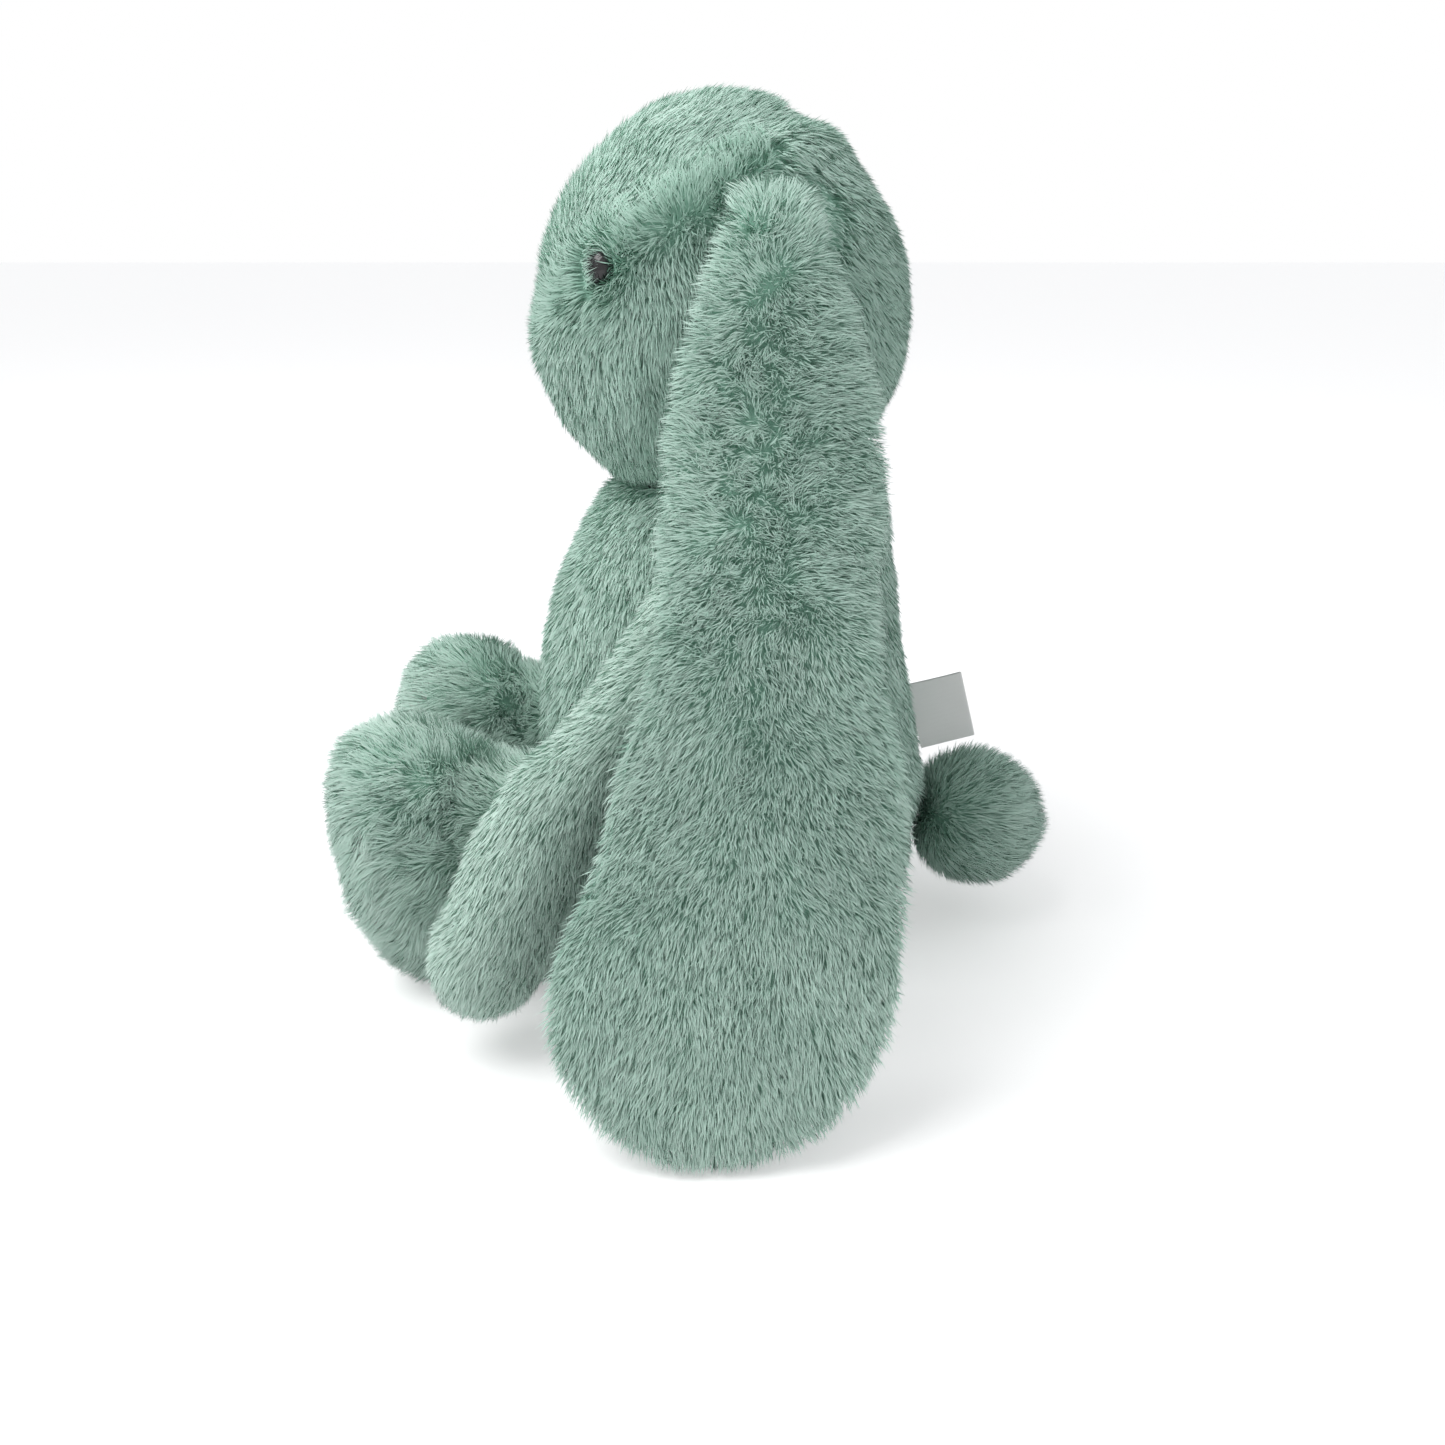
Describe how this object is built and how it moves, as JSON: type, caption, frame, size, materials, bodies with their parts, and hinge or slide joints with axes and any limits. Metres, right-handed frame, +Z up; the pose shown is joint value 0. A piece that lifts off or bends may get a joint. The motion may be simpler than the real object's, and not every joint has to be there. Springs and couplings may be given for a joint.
{
  "type": "plush rabbit",
  "caption": "Seated stuffed rabbit with long lop ears, soft mint-green pile, a round tail and limbs that move at their seams.",
  "frame": {"origin": "the middle of the surface the toy sits on, under the middle of its overall size", "axes": "+Z up, -Y the way the toy faces, +X to the toy's own left"},
  "size_m": [0.3116, 0.2376, 0.2775],
  "materials": {
    "plush": "wavy long-pile plush, mint green, darker at the roots",
    "filling": "white hollow-fibre polyester",
    "bag_cloth": "plain woven bag of plastic pellets",
    "thread": "twisted sewing thread",
    "eye_plastic": "polished black",
    "washer_plastic": "moulded white",
    "nose_thread": "satin stitches",
    "label_ribbon": "woven off-white ribbon, bare"
  },
  "bodies": {
    "torso": {"belly_panel": "plush", "back_panel_left": "plush", "back_panel_right": "plush", "torso_filling": "filling", "pellet_bag": "bag_cloth"},
    "neck": {"neck_thread_ring": "thread"},
    "head": {"forehead_gusset": "plush", "face_left": "plush", "face_right": "plush", "nape_left": "plush", "nape_right": "plush", "head_filling": "filling", "eye_left": "eye_plastic", "eye_right": "eye_plastic", "eye_washer_left": "washer_plastic", "eye_washer_right": "washer_plastic", "nose": "nose_thread"},
    "tail": {"tail_cover": "plush", "tail_filling": "filling"},
    "label": {"label": "label_ribbon"},
    "ear_left": {"ear_left_outer": "plush", "ear_left_inner": "plush", "ear_left_wadding": "filling"},
    "arm_left": {"arm_left_outer": "plush", "arm_left_inner": "plush", "arm_left_filling": "filling"},
    "leg_left": {"leg_left_outer": "plush", "leg_left_inner": "plush", "leg_left_sole": "plush", "leg_left_filling": "filling"},
    "ear_right": {"ear_right_outer": "plush", "ear_right_inner": "plush", "ear_right_wadding": "filling"},
    "arm_right": {"arm_right_outer": "plush", "arm_right_inner": "plush", "arm_right_filling": "filling"},
    "leg_right": {"leg_right_outer": "plush", "leg_right_inner": "plush", "leg_right_sole": "plush", "leg_right_filling": "filling"}
  },
  "joints": [
    {"name": "head_turn", "type": "hinge", "parent": "torso", "child": "neck", "pos_m": [0, 0.0055, 0.2175], "axis": [0, 0, 1], "range_deg": [-20, 20]},
    {"name": "head_nod", "type": "hinge", "parent": "neck", "child": "head", "pos_m": [0, 0.0055, 0.2175], "axis": [1, 0, 0], "range_deg": [-10, 10]},
    {"name": "ear_left_lift", "type": "hinge", "parent": "head", "child": "ear_left", "pos_m": [0.05596, 0.019, 0.24725], "axis": [0, -1, 0], "range_deg": [0, 100]},
    {"name": "ear_right_lift", "type": "hinge", "parent": "head", "child": "ear_right", "pos_m": [-0.05596, 0.019, 0.24725], "axis": [0, 1, 0], "range_deg": [0, 100]},
    {"name": "arm_left_swing", "type": "hinge", "parent": "torso", "child": "arm_left", "pos_m": [0.06019, 0.0005, 0.138], "axis": [-1, 0, 0], "range_deg": [-10, 80]},
    {"name": "arm_right_swing", "type": "hinge", "parent": "torso", "child": "arm_right", "pos_m": [-0.06019, 0.0005, 0.138], "axis": [-1, 0, 0], "range_deg": [-10, 80]},
    {"name": "leg_left_lift", "type": "hinge", "parent": "torso", "child": "leg_left", "pos_m": [0.042, -0.038, 0.0765], "axis": [-1, 0, 0], "range_deg": [0, 45]},
    {"name": "leg_right_lift", "type": "hinge", "parent": "torso", "child": "leg_right", "pos_m": [-0.042, -0.038, 0.0765], "axis": [-1, 0, 0], "range_deg": [0, 45]},
    {"name": "tail_wag", "type": "hinge", "parent": "torso", "child": "tail", "pos_m": [0, 0.06664, 0.0365], "axis": [0, 0, 1], "range_deg": [-15, 15]},
    {"name": "label_flap", "type": "hinge", "parent": "torso", "child": "label", "pos_m": [0, 0.07342, 0.063], "axis": [0, -0.0898, 0.996], "range_deg": [-50, 50]}
  ]
}
